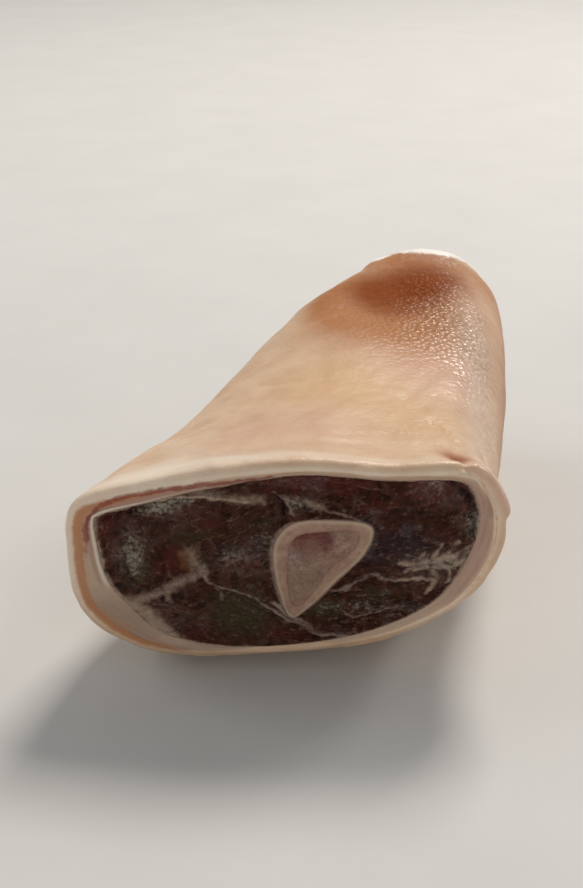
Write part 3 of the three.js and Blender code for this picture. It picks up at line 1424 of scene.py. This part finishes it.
@dataclass
class LeanMeat:
    """The lean meat: a ring-shaped body round the bone, with the muscles and seams in its two faces.

    Its rows go outwards over the knee face, along the outside, inwards over the ankle face, and back
    along the bone.
    """

    leg: LegShape
    columns: int = 560
    face_rows: int = 112
    side_rows: int = 10
    far_rows: int = 40
    hole_rows: int = 6
    joint_gap: float = 0.02
    streak_length: float = 4.0
    streak_width: float = 1.2
    # How far apart the muscles lie in the noise, so that their streaks differ.
    muscle_spacing: float = 7.0

    muscles: tuple[Muscle, ...] = (
        Muscle((-45, 46), 80), Muscle((-20, 56), 35), Muscle((12, 68), 5), Muscle((42, 68), 65),
        Muscle((38, 50), 20), Muscle((-30, 18), 15), Muscle((-10, 20), -20), Muscle((28, 22), 8),
        Muscle((-12, 40), 50), Muscle((-35, 35), 60),
    )
    yellow: Line = Line(((-29, 46), (-30, 42), (-29, 40)), 2.6, 0.9)
    fat: tuple[Line, ...] = (
        Line(((-54, 35.5), (-55, 45), (-56, 52.5), (-55.5, 58), (-53, 60.5), (-46, 62.5), (-39, 65),
              (-31.5, 66), (-24.5, 66), (-17.5, 65), (-12, 64)), 0.8, 0.8),
        Line(((-27.5, 68.5), (-20.5, 66.5), (-13.5, 64.5), (-8, 65)), 2.2, 0.5),
        Line(((-28, 46.5), (-27, 43), (-25.5, 38.5)), 3.0, 0.5),
        Line(((-24.5, 38), (-31.5, 34.5), (-36.5, 31), (-41, 28.5), (-50, 27)), 2.3, 0.58),
        Line(((-36.5, 31), (-35, 26)), 1.0, 0.5),
        Line(((-56, 33), (-50, 27.5), (-42, 23.5), (-38.5, 17.5), (-35, 11)), 2.4, 0.8),
        Line(((56.5, 66), (57.5, 56), (57, 48), (54, 40)), 1.2, 0.6),
        Line(((-56, 38), (-58, 30), (-50, 18), (-34, 8)), 2.2, 0.9),
    )
    membranes: tuple[Line, ...] = (
        Line(((-25.5, 38), (-22, 33.5), (-16.5, 31), (-9.5, 28), (-3.5, 23), (2.5, 19.5), (6, 17),
              (13, 14)), 0.8, 0.9),
        Line(((-21.5, 33.5), (-20, 30), (-19.5, 27)), 0.6, 0.7),
        Line(((-28, 39), (-20, 39), (-14, 43), (-8, 44)), 0.7, 0.5),
        Line(((-4, 67.5), (-0.5, 63), (2, 59.5)), 0.7, 0.8),
        Line(((0, 64), (5, 63.5), (9, 62)), 1.8, 0.75),
        Line(((8, 62.5), (14, 60), (22, 58)), 0.8, 0.65),
        Line(((-4, 27), (-0.5, 23), (3.5, 20), (8.5, 16), (14.5, 13.5), (22.5, 12)), 0.8, 0.85),
        Line(((13, 31), (17.5, 32.5), (21.5, 35.5), (25, 37.5), (28, 36.5), (33.5, 35), (39, 35.5)),
             0.9, 0.85),
        Line(((16, 24), (20.5, 21.5), (26.5, 23), (32.5, 25)), 0.5, 0.8),
        Line(((4, 28), (10, 25), (16, 23), (28, 23)), 0.4, 0.5),
        Line(((-44, 60), (-34, 58), (-26, 54), (-20, 46)), 0.6, 0.45),
        Line(((-10, 58), (-14, 50), (-16, 44)), 0.5, 0.4),
        Line(((20, 70), (30, 66), (36, 60)), 0.5, 0.4),
        Line(((-40, 26), (-30, 22), (-24, 12)), 0.6, 0.45),
    )
    # Cracks between muscles: the relief sinks along them and the crevice tint darkens them with painted
    # shade.
    crevices: tuple[Line, ...] = (
        Line(((43, 76), (46, 72), (48.5, 68.5), (50.5, 66)), 1.0, 1.0),
        Line(((51.5, 65), (53, 59.5), (54, 54), (54.5, 48.5), (53.5, 46)), 0.7, 0.85),
        Line(((-4, 66), (-1, 61), (0, 57)), 0.9, 0.75),
        Line(((-10, 56), (-4, 58), (0, 57)), 0.9, 0.5),
        Line(((22, 40), (28, 40), (33, 39)), 1.2, 0.6),
        Line(((-53, 56), (-45, 60.5), (-38, 62)), 0.6, 0.6),
        Line(((-48, 44), (-47, 36), (-42, 31)), 0.8, 0.6),
        Line(((8, 55), (20, 56), (30, 60)), 0.7, 0.4),
        Line(((-22, 30), (-10, 24), (0, 16)), 0.7, 0.45),
    )
    red: tuple[Dab, ...] = (
        Dab((-52, 56), (5, 7), 0.7), Dab((-32, 44), (4, 6), 0.5), Dab((42, 69), (8, 6), 0.9),
        Dab((8, 71), (18, 4.5), 0.8), Dab((-24, 57), (8, 4), 0.5), Dab((-12, 41), (5, 4), 0.6),
        Dab((26, 62), (8, 3), 0.5), Dab((-26, 14), (8, 5), 0.5), Dab((44, 28), (8, 6), 0.35),
        Dab((0, 15), (7, 4), 0.5), Dab((-36, 40), (4, 5), 0.4),
    )
    # Patches of silverskin, partly painted highlight: grey-white flecks stand in for the wet sheen here.
    silver: tuple[Dab, ...] = (
        Dab((-45, 44), (4, 9), 0.75), Dab((-37, 62), (7, 3), 0.8), Dab((-29, 65), (5, 2), 0.6),
        Dab((54, 56), (2.5, 6), 0.8), Dab((42, 71), (4, 5), 0.6), Dab((-16, 44), (5, 4), 0.5),
        Dab((2, 63), (5, 3), 0.55), Dab((45, 42), (9, 4), 0.7), Dab((20, 25), (12, 3), 0.4),
        Dab((-6, 50), (5, 6), 0.4),
    )
    olive: tuple[Dab, ...] = (
        Dab((-14, 22), (9, 9), 0.95), Dab((-28, 52), (9, 4), 0.5), Dab((10, 24), (7, 4), 0.7),
        Dab((-44, 40), (5, 8), 0.6), Dab((26, 30), (9, 3), 0.5), Dab((-8, 56), (6, 4), 0.4),
    )
    purple: tuple[Dab, ...] = (
        Dab((34, 49), (9, 6), 0.9), Dab((-10, 46), (6, 5), 0.4), Dab((24, 44), (5, 4), 0.5),
    )
    cells: tuple[Dab, ...] = (
        Dab((-13, 42), (8, 6), 1.0), Dab((42, 70), (6, 7), 1.0), Dab((-14, 22), (12, 9), 0.5),
        Dab((-34, 20), (9, 7), 0.5), Dab((-46, 44), (6, 12), 0.6), Dab((-30, 60), (10, 5), 0.4),
        Dab((40, 40), (12, 8), 0.4),
    )
    star: tuple[Line, ...] = (
        Line(((34, 42), (40, 42.3), (46, 44), (53.5, 45.5)), 1.3, 1.0),
        Line(((38, 39.6), (43, 40.5), (48, 40.5), (52, 43)), 1.2, 0.9),
        Line(((39, 43), (41, 46.5)), 0.8, 0.8), Line(((43, 43.5), (45.5, 48.5)), 0.8, 0.9),
        Line(((47, 44.5), (50, 49)), 0.8, 0.8), Line(((50, 45), (54.5, 49)), 0.7, 0.8),
        Line(((38, 41), (35, 38.5)), 0.7, 0.8), Line(((42, 41), (44, 36.5), (42, 31)), 1.0, 0.85),
        Line(((45, 42), (48, 38.5), (47, 34.5)), 0.8, 0.8), Line(((48, 43), (52, 40), (51, 36)), 0.9, 0.8),
        Line(((33.5, 35), (39, 35.8), (43.5, 35.5)), 0.8, 0.8), Line(((41, 44), (36, 45)), 0.6, 0.6),
    )
    tendons: tuple[Line, ...] = (
        Line(((52, 24), (56, 23)), 3.6, 1.0), Line(((36, 32), (35, 36)), 2.4, 1.0),
        Line(((68, 58), (70, 54)), 2.2, 1.0), Line(((40, 66), (44, 68)), 2.0, 1.0),
        Line(((56, 72), (60, 71)), 1.8, 0.9),
    )

    def fibres(self, face: Array) -> Array:
        """Streaks along each muscle's grain, from 0 to 1. The lean's finish paints them pale, partly a
        painted highlight for the wet sheen along the grain.

        Each muscle has noise stretched along its grain, and a place takes each muscle's streaks by
        exp(-(distance / reach)^2) of its middle.

        Args:
            face: Places on the cut, with x and z last.

        Returns:
            One value for each place.
        """
        weight_sum = np.full(face.shape[:-1], SMALL)
        streaks = np.zeros(face.shape[:-1])
        for index, muscle in enumerate(self.muscles):
            angle = np.radians(muscle.grain_degrees)
            along = face @ np.array([np.cos(angle), np.sin(angle)])
            across = face @ np.array([-np.sin(angle), np.cos(angle)])
            distance = np.linalg.norm(face - np.array(muscle.middle), axis=-1)
            weight = bell(distance, 0.0, muscle.reach)
            sheet = np.full_like(along, self.muscle_spacing * index)
            place = np.stack([along / self.streak_length, across / self.streak_width, sheet], axis=-1)
            streaks += weight * ridges(place, 1.0, 31 + index, 3)
            weight_sum += weight
        return streaks / weight_sum

    def grid(self) -> tuple[Array, dict[str, slice]]:
        """Lays out the smooth grid.

        Returns:
            The points, and the rows of the two faces by name.
        """
        leg = self.leg
        turn = around(self.columns)
        ends = {
            along: (
                leg.inwards(leg.bone, turn, along, -self.joint_gap),
                leg.inwards(leg.skin, turn, along, leg.rind_thickness(turn, along) + self.joint_gap),
            )
            for along in (AT_KNEE, AT_ANKLE)
        }
        knee = mix(*ends[AT_KNEE], even(self.face_rows)[..., None])
        along = even(self.side_rows + 2)[1:-1]
        side = leg.inwards(leg.skin, turn, along, leg.rind_thickness(turn, along) + self.joint_gap)
        ankle = mix(*reversed(ends[AT_ANKLE]), even(self.far_rows)[..., None])
        hole_along = even(self.hole_rows + 2)[1:-1][::-1]
        hole = leg.inwards(leg.bone, turn, hole_along, -self.joint_gap)
        ankle_start = self.face_rows + self.side_rows
        faces = {
            "knee": slice(0, self.face_rows),
            "ankle": slice(ankle_start, ankle_start + self.far_rows),
        }
        return np.concatenate([knee, side, ankle, hole]), faces

    def knee_face(self, knee: Array) -> tuple[dict[str, Array], Array]:
        """Paints the knee face: seams, crevices darkened with painted shade, wet patches with painted sheen,
        and muscle colours.

        Args:
            knee: The face's points, with x, y and z last.

        Returns:
            The fields by name, and the height of the relief in millimetres.
        """
        face = knee[..., [0, 2]]
        wander = np.stack([noise(knee, 7.0, 51, 3), noise(knee, 7.0, 61, 3)], axis=-1) * 1.6
        wander += np.stack([noise(knee, 1.8, 52, 2), noise(knee, 1.8, 62, 2)], axis=-1) * 0.5
        drawn = face + wander
        broken = 0.75 + 0.5 * noise(knee, 4.0, 53, 2)
        fat = strongest(self.fat, drawn)
        star = strongest(self.star, drawn) * (0.7 + 0.5 * noise(knee, 2.5, 55, 2))
        membrane = strongest(self.membranes, drawn) * broken
        # The crevice mask sinks the relief and carries the painted shade in the cracks.
        crevice = strongest(self.crevices, drawn) * broken
        pale = np.max([fat, membrane, star], axis=0)
        streaks = self.fibres(face)
        # share runs from the bone at 0 to the fat at 1.
        share = even(self.face_rows)
        rim = smooth_step(0.96, 1.0, share) * (0.7 + 0.5 * noise(knee, 5.0, 54, 2))
        lining = smooth_step(0.05, 0.0, share) * 0.8
        fields = {
            name: total(getattr(self, name), face + 0.6 * wander)
            for name in ("silver", "red", "olive", "purple", "cells")
        }
        fields["fat"] = np.max(np.broadcast_arrays(fat, star, rim), axis=0)
        fields["membrane"] = np.maximum(membrane, lining)
        fields["streaks"] = streaks
        fields["yellow"] = self.yellow.over(drawn)
        fields["crevice"] = crevice
        fields["bundles"] = np.clip(0.5 + 0.8 * noise(knee, 9.0, 56, 2), 0.0, 1.0)
        wet = fields["silver"] + 0.5 * fields["cells"] + 0.5 * pale
        wet += smooth_step(0.15, 0.6, noise(knee, 5.0, 57, 3))
        fields["matt"] = 0.85 * (1.0 - np.clip(wet, 0.0, 1.0))
        height = 0.9 * noise(knee, 6.0, 71, 3) + 0.5 * (streaks - 0.4) + 0.5 * pale - 2.0 * crevice - 0.5
        height += 0.35 * noise(knee, 1.6, 72, 2)
        return fields, height * smooth_step(0.0, 0.06, np.minimum(share, 1.0 - share))

    def ankle_face(self, ankle: Array) -> tuple[dict[str, Array], Array]:
        """Paints the ankle face: tendon ends in plain lean meat.

        Args:
            ankle: The face's points, with x, y and z last.

        Returns:
            The fields by name, and the height of the relief in millimetres.
        """
        tendon = np.clip(strongest(self.tendons, ankle[..., [0, 2]]), 0.0, 1.0)
        even_field = np.ones(ankle.shape[:2])
        fields = {
            "fat": np.maximum(tendon, ridges(ankle, 9.0, 82, 2) * 0.45),
            "streaks": ridges(ankle, 2.0, 83, 2),
            "red": 0.4 * even_field,
            "bundles": 0.6 * even_field,
            "matt": 0.5 * even_field,
        }
        share = even(self.far_rows)
        height = 0.4 * noise(ankle, 3.0, 81, 3) + 0.7 * tendon - 0.3
        return fields, height * smooth_step(0.0, 0.1, np.minimum(share, 1.0 - share))

    def build(self) -> bpy.types.Object:
        """Builds and dresses the lean meat.

        Returns:
            The finished object.
        """
        leg = self.leg
        points, faces = self.grid()
        fields: dict[str, Array] = {}
        sides = (
            (faces["knee"], self.knee_face, leg.knee_normal),
            (faces["ankle"], self.ankle_face, leg.ankle_normal),
        )
        for rows, paint, normal in sides:
            painted, height = paint(points[rows])
            for name, values in painted.items():
                fields.setdefault(name, np.zeros(points.shape[:2]))[rows] = values
            points[rows] += normal * height[..., None]
        sheet = Sheet("lean_meat_cut", points, fields)
        return dress(sheet.build(leg.shift), Finish.LEAN, "lean_meat")


@dataclass
class ShinBone:
    """The hard wall of the shin bone, sawn flat at both ends and a little proud of the meat."""

    leg: LegShape
    columns: int = 300
    face_rows: int = 28
    side_rows: int = 24
    proud: float = 0.25
    gap: float = 0.02

    def build(self) -> bpy.types.Object:
        """Builds and dresses the bone.

        Returns:
            The finished object.
        """
        leg = self.leg
        turn = around(self.columns)
        face = even(self.face_rows)
        side = even(self.side_rows + 2)[1:-1]
        inner = {
            along: leg.inwards(leg.marrow_edge, turn, along, -self.gap) for along in (AT_KNEE, AT_ANKLE)
        }
        knee = mix(inner[AT_KNEE], leg.bone(turn, np.full((1, 1), AT_KNEE)), face[..., None])
        ankle = mix(leg.bone(turn, np.full((1, 1), AT_ANKLE)), inner[AT_ANKLE], face[..., None])
        hole = leg.inwards(leg.marrow_edge, turn, side[::-1], -self.gap)
        points = np.concatenate([knee, leg.bone(turn, side), ankle, hole])
        rim = smooth_step(0.0, 0.12, np.minimum(face, 1.0 - face))
        rough = 0.12 * noise(points, 2.5, 91, 3) + 0.05 * noise(points, (0.6, 0.6, 9.0), 92, 2)
        edge = np.zeros(points.shape[:2])
        rosy = np.full(points.shape[:2], 0.1)
        # face runs from the marrow at 0 to the outside at 1 on the knee cut, and back on the ankle cut.
        ankle_start = self.face_rows + self.side_rows
        sides = (
            (slice(0, self.face_rows), leg.knee_normal,
             smooth_step(0.55, 0.95, face), smooth_step(0.6, 0.0, face)),
            (slice(ankle_start, ankle_start + self.face_rows), leg.ankle_normal,
             smooth_step(0.45, 0.05, face), smooth_step(0.4, 1.0, face)),
        )
        for rows, normal, outer_share, inner_share in sides:
            points[rows] += normal * ((self.proud + rough[rows]) * rim)[..., None]
            edge[rows] = outer_share
            rosy[rows] = inner_share * 0.6
        sheet = Sheet("shin_bone_wall", points, {"edge": edge, "rosy": rosy})
        return dress(sheet.build(leg.shift), Finish.BONE, "shin_bone")


@dataclass
class Marrow:
    """The spongy bone and marrow inside the shin bone, with a pitted face at each cut."""

    leg: LegShape
    columns: int = 220
    face_rows: int = 64
    side_rows: int = 8
    gap: float = 0.02
    pit_mm: float = 1.5

    red: tuple[Dab, ...] = (
        Dab((-3, -91, 49), (3.6, 9, 4), 1.0), Dab((6, -92, 53), (5, 9, 2.4), 1.1),
        Dab((11.5, -91, 49.5), (2.8, 9, 4.5), 0.9), Dab((1, -91, 52.5), (4, 9, 2), 0.7),
    )
    rosy: tuple[Dab, ...] = (Dab((3, -91, 50), (10, 9, 6), 0.8), Dab((-4, -90, 44), (3, 9, 6), 0.5))
    grey: tuple[Dab, ...] = (Dab((0.6, -90, 44.6), (3.5, 9, 3), 0.9), Dab((-4, -88, 38), (3, 9, 5), 0.7))

    def build(self) -> bpy.types.Object:
        """Builds and dresses the marrow.

        Returns:
            The finished object.
        """
        leg = self.leg
        turn = around(self.columns)
        side = even(self.side_rows + 2)[1:-1]
        knee_edge = leg.inwards(leg.marrow_edge, turn, AT_KNEE, self.gap)
        ankle_edge = leg.inwards(leg.marrow_edge, turn, AT_ANKLE, self.gap)
        share = even(self.face_rows, 1.0 / self.face_rows)[..., None]
        knee = mix(knee_edge.mean(axis=1, keepdims=True), knee_edge, share)
        ankle = mix(ankle_edge, ankle_edge.mean(axis=1, keepdims=True), 1.0 - share[::-1])
        points = np.concatenate([knee, leg.inwards(leg.marrow_edge, turn, side, self.gap), ankle])
        nearest, second = cell_distance(points, self.pit_mm, 101)
        struts = smooth_step(0.3, 0.05, second - nearest)
        rim = smooth_step(1.0, 0.93, share[..., 0])
        face = np.zeros(points.shape[:2])
        face[: self.face_rows] = rim
        face[-self.face_rows :] = rim[::-1]
        height = (0.15 * struts - 0.2 + 0.25 * noise(points, 4.0, 102, 2)) * face
        knee_half = np.arange(len(points))[:, None] < len(points) // 2
        normal = np.where(knee_half[..., None], leg.knee_normal, leg.ankle_normal)
        points = points + normal * height[..., None]
        fields = {name: total(getattr(self, name), points) * knee_half for name in ("red", "rosy", "grey")}
        fields["rosy"] += 0.6 * ~knee_half
        fields["struts"] = struts * (0.5 + 0.5 * noise(points, 6.0, 103, 2))
        sheet = Sheet("marrow_core", points, fields, rows_close=False)
        return dress(sheet.build(leg.shift), Finish.MARROW, "marrow")


# ---------------------------------------------------------------------------------------------------
# Studio
# ---------------------------------------------------------------------------------------------------


@dataclass(frozen=True)
class SoftBox:
    """A square area light, aimed at a point. Places are in metres."""

    name: str
    place: tuple[float, float, float]
    aim: tuple[float, float, float]
    side: float
    watts: float
    colour: str = "#ffffff"

    def build(self) -> None:
        """Adds the light to the scene."""
        light = bpy.data.lights.new(self.name, "AREA")
        light.energy = self.watts
        light.size = self.side
        light.color = linear(self.colour)[:3]
        holder = bpy.data.objects.new(self.name, light)
        holder.location = self.place
        direction = np.array(self.aim) - np.array(self.place)
        holder.rotation_euler = aimed(direction)
        bpy.context.scene.collection.objects.link(holder)


def aimed(direction: Array) -> tuple[float, float, float]:
    """Turns that point an object's -Z along a direction, with its top up.

    Args:
        direction: Where it points.

    Returns:
        Turns about x, y and z.
    """
    x, y, z = direction / np.linalg.norm(direction)
    return float(np.arccos(-z)), 0.0, float(np.arctan2(-x, y))


@dataclass
class Studio:
    """The floor, the lights and the camera.

    The strong light stands above and behind, so that the cut is in its own soft shade and the skin
    shines. Weaker ones open up the cut and the sides.
    """

    leg: LegShape
    camera_place_mm: tuple[float, float, float] = (1.4, -477.4, 253.0)
    camera_pitch_degrees: float = 24.0
    focal_mm: float = 60.8
    sensor_mm: float = 36.0
    nearest_seen: float = 0.01
    floor_side: float = 16.0
    air_colour: str = "#e9edf2"
    air_strength: float = 0.3
    lights: tuple[SoftBox, ...] = (
        SoftBox("key_above_behind", (0.6, 1.25, 2.05), (0.0, 0.0, 0.04), 0.8, 48.0, "#fffaf4"),
        SoftBox("front_low_right", (0.95, -1.25, 0.42), (0.0, -0.08, 0.03), 0.4, 3.6),
        SoftBox("front_low_left", (-0.9, -1.3, 0.5), (0.0, -0.08, 0.03), 0.4, 3.2),
        SoftBox("side_right", (1.5, 0.9, 1.2), (0.0, 0.0, 0.04), 0.5, 9.0),
        SoftBox("side_left", (-1.7, 0.2, 1.2), (0.0, 0.0, 0.04), 1.0, 9.0),
    )

    def build(self) -> None:
        """Builds the studio round the hock."""
        self.build_floor()
        for light in self.lights:
            light.build()
        self.build_air()
        self.build_camera()

    def build_floor(self) -> None:
        """Adds the floor, one square at height 0."""
        half = self.floor_side / 2.0
        corners = [(x * half, y * half, 0.0) for x, y in ((-1, -1), (1, -1), (1, 1), (-1, 1))]
        mesh = bpy.data.meshes.new("floor")
        mesh.from_pydata(corners, [], [(0, 1, 2, 3)])
        mesh.materials.append(Finish.FLOOR.value.build())
        floor = bpy.data.objects.new("floor", mesh)
        bpy.context.scene.collection.objects.link(floor)

    def build_air(self) -> None:
        """Adds the weak even light from all round, and shows colours as they are."""
        world = bpy.data.worlds.new("studio_air")
        world.use_nodes = True
        background = world.node_tree.nodes["Background"]
        background.inputs["Color"].default_value = linear(self.air_colour)
        background.inputs["Strength"].default_value = self.air_strength
        bpy.context.scene.world = world
        bpy.context.scene.view_settings.view_transform = "Standard"

    def build_camera(self) -> None:
        """Adds the camera, which looks along +Y and down by its pitch."""
        camera = bpy.data.cameras.new("camera")
        camera.lens = self.focal_mm
        camera.sensor_width = self.sensor_mm
        camera.clip_start = self.nearest_seen
        holder = bpy.data.objects.new("camera", camera)
        holder.location = (np.array(self.camera_place_mm) + self.leg.shift) * MM
        holder.rotation_euler = (np.radians(90.0 - self.camera_pitch_degrees), 0.0, 0.0)
        bpy.context.scene.collection.objects.link(holder)
        bpy.context.scene.camera = holder


def main() -> None:
    """Builds the hock and its studio, and reports each piece."""
    logging.basicConfig(level=logging.INFO, format="%(name)s: %(message)s")
    leg = LegShape()
    LOG.info("leg stands %s mm from its own origin", np.round(leg.shift, 2).tolist())
    Studio(leg).build()
    for maker in (Rind(leg), LeanMeat(leg), ShinBone(leg), Marrow(leg)):
        piece = maker.build()
        LOG.info("%s has %d faces", piece.name, len(piece.data.polygons))


if __name__ == "__main__":
    main()
